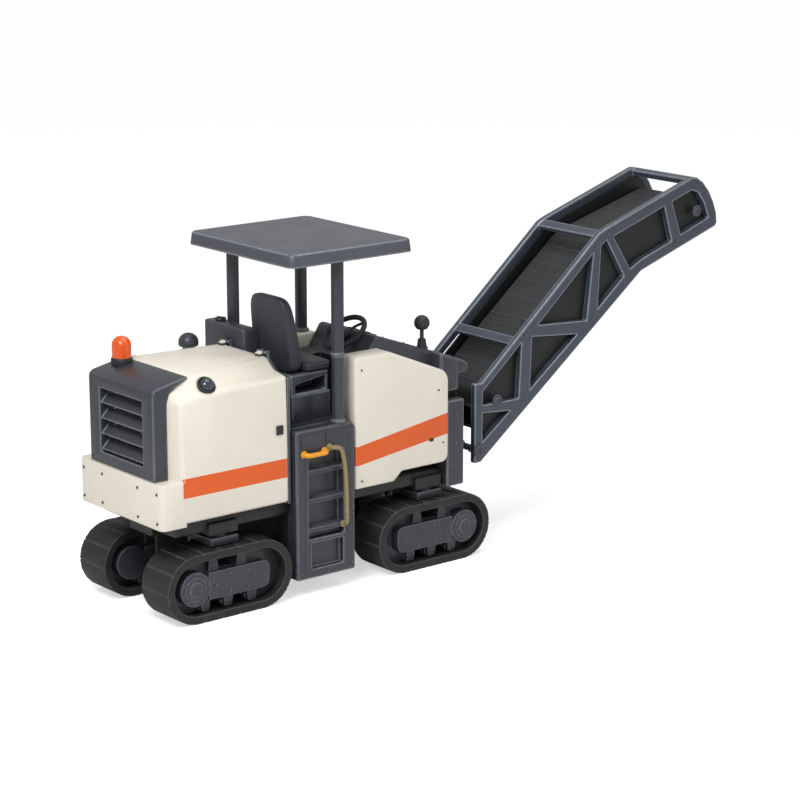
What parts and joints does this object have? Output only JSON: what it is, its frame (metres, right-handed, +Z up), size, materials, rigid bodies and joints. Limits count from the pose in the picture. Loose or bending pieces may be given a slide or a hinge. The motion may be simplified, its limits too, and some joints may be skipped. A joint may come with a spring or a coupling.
{
  "type": "cold planer milling machine",
  "caption": "Compact tracked cold planer with an operator's canopy, a milling drum under its waist and a lifting, slewing discharge conveyor ahead.",
  "frame": {"origin": "middle of the machine's box, on the ground under the tracks", "axes": "+X forward toward the conveyor's discharge end, +Y to the operator's left, +Z up"},
  "size_m": [7.343, 1.694, 3.49],
  "materials": {
    "cream_paint": "semi-gloss cream enamel",
    "slate_paint": "semi-gloss slate grey enamel",
    "frame_paint": "semi-gloss blue-grey enamel",
    "black_steel": "matt black primer",
    "rubber_black": "dull, scuffed",
    "bare_steel": "worn bare steel",
    "orange_lens": "glossy moulded lens",
    "lamp_glass": "smoked lamp dome",
    "yellow_paint": "semi-gloss safety yellow",
    "tan_coating": "satin dipped coating",
    "seat_vinyl": "matt vinyl"
  },
  "bodies": {
    "machine": {"chassis_frame": "black_steel", "drum_housing": "black_steel", "engine_block": "black_steel", "bulkhead": "slate_paint", "hydraulic_tank": "slate_paint", "platform": "slate_paint", "seat_box": "slate_paint", "seat_cushion": "seat_vinyl", "seat_back": "seat_vinyl", "front_bonnet": "slate_paint", "front_cowl_left": "cream_paint", "front_cowl_right": "cream_paint", "ladder_left": "slate_paint", "ladder_right": "slate_paint", "step_rail_left": "tan_coating", "step_rail_right": "tan_coating", "grab_handle_left": "yellow_paint", "grab_handle_right": "yellow_paint", "steering_column": "black_steel", "control_lever": "black_steel", "canopy_post_rear_left": "slate_paint", "canopy_post_front_left": "slate_paint", "canopy_post_right": "slate_paint", "canopy_roof": "slate_paint", "nose_frame": "slate_paint"},
    "hood": {"engine_hood": "cream_paint", "grille_housing": "slate_paint", "beacon": "orange_lens", "hood_lamp_left": "lamp_glass", "hood_lamp_right": "lamp_glass", "air_precleaner": "slate_paint"},
    "drum": {"milling_drum": "bare_steel"},
    "steering": {"steering_wheel": "rubber_black"},
    "yoke": {"slew_yoke": "slate_paint"},
    "conveyor": {"conveyor_frame": "frame_paint", "conveyor_trough": "black_steel", "conveyor_belt": "rubber_black", "tail_pulley": "bare_steel", "head_pulley": "bare_steel"},
    "track_unit_front_left": {"track_frame_front_left": "slate_paint", "track_loop_front_left": "rubber_black"},
    "track_unit_front_right": {"track_frame_front_right": "slate_paint", "track_loop_front_right": "rubber_black"},
    "track_unit_rear_left": {"track_frame_rear_left": "slate_paint", "track_loop_rear_left": "rubber_black"},
    "track_unit_rear_right": {"track_frame_rear_right": "slate_paint", "track_loop_rear_right": "rubber_black"}
  },
  "joints": [
    {"name": "hood_hinge", "type": "hinge", "parent": "machine", "child": "hood", "pos_m": [-2.24653, 0, 2.357], "axis": [0, 1, 0], "range_deg": [0, 45]},
    {"name": "drum_spin", "type": "hinge", "parent": "machine", "child": "drum", "pos_m": [-1.82653, 0, 0.39], "axis": [0, 1, 0], "continuous": true},
    {"name": "steering_wheel_turn", "type": "hinge", "parent": "machine", "child": "steering", "pos_m": [-1.09253, -0.08, 2.345], "axis": [-0.5446, 0, 0.8387], "continuous": true},
    {"name": "conveyor_slew", "type": "hinge", "parent": "machine", "child": "yoke", "pos_m": [0.12347, 0, 1], "axis": [0, 0, 1], "range_deg": [-25, 25]},
    {"name": "conveyor_lift", "type": "hinge", "parent": "yoke", "child": "conveyor", "pos_m": [0.29847, 0, 1], "axis": [0, -1, 0], "range_deg": [-20, 10]},
    {"name": "front_left_steer", "type": "hinge", "parent": "machine", "child": "track_unit_front_left", "pos_m": [-0.48653, 0.5375, 0.75], "axis": [0, 0, 1], "range_deg": [-15, 15]},
    {"name": "front_right_steer", "type": "hinge", "parent": "machine", "child": "track_unit_front_right", "pos_m": [-0.48653, -0.5375, 0.75], "axis": [0, 0, 1], "range_deg": [-15, 15]},
    {"name": "rear_left_steer", "type": "hinge", "parent": "machine", "child": "track_unit_rear_left", "pos_m": [-2.95653, 0.5375, 0.75], "axis": [0, 0, 1], "range_deg": [-15, 15]},
    {"name": "rear_right_steer", "type": "hinge", "parent": "machine", "child": "track_unit_rear_right", "pos_m": [-2.95653, -0.5375, 0.75], "axis": [0, 0, 1], "range_deg": [-15, 15]}
  ],
  "couplings": [
    {"joint": "front_right_steer", "follows": "front_left_steer", "ratio": 1},
    {"joint": "rear_right_steer", "follows": "rear_left_steer", "ratio": 1}
  ]
}
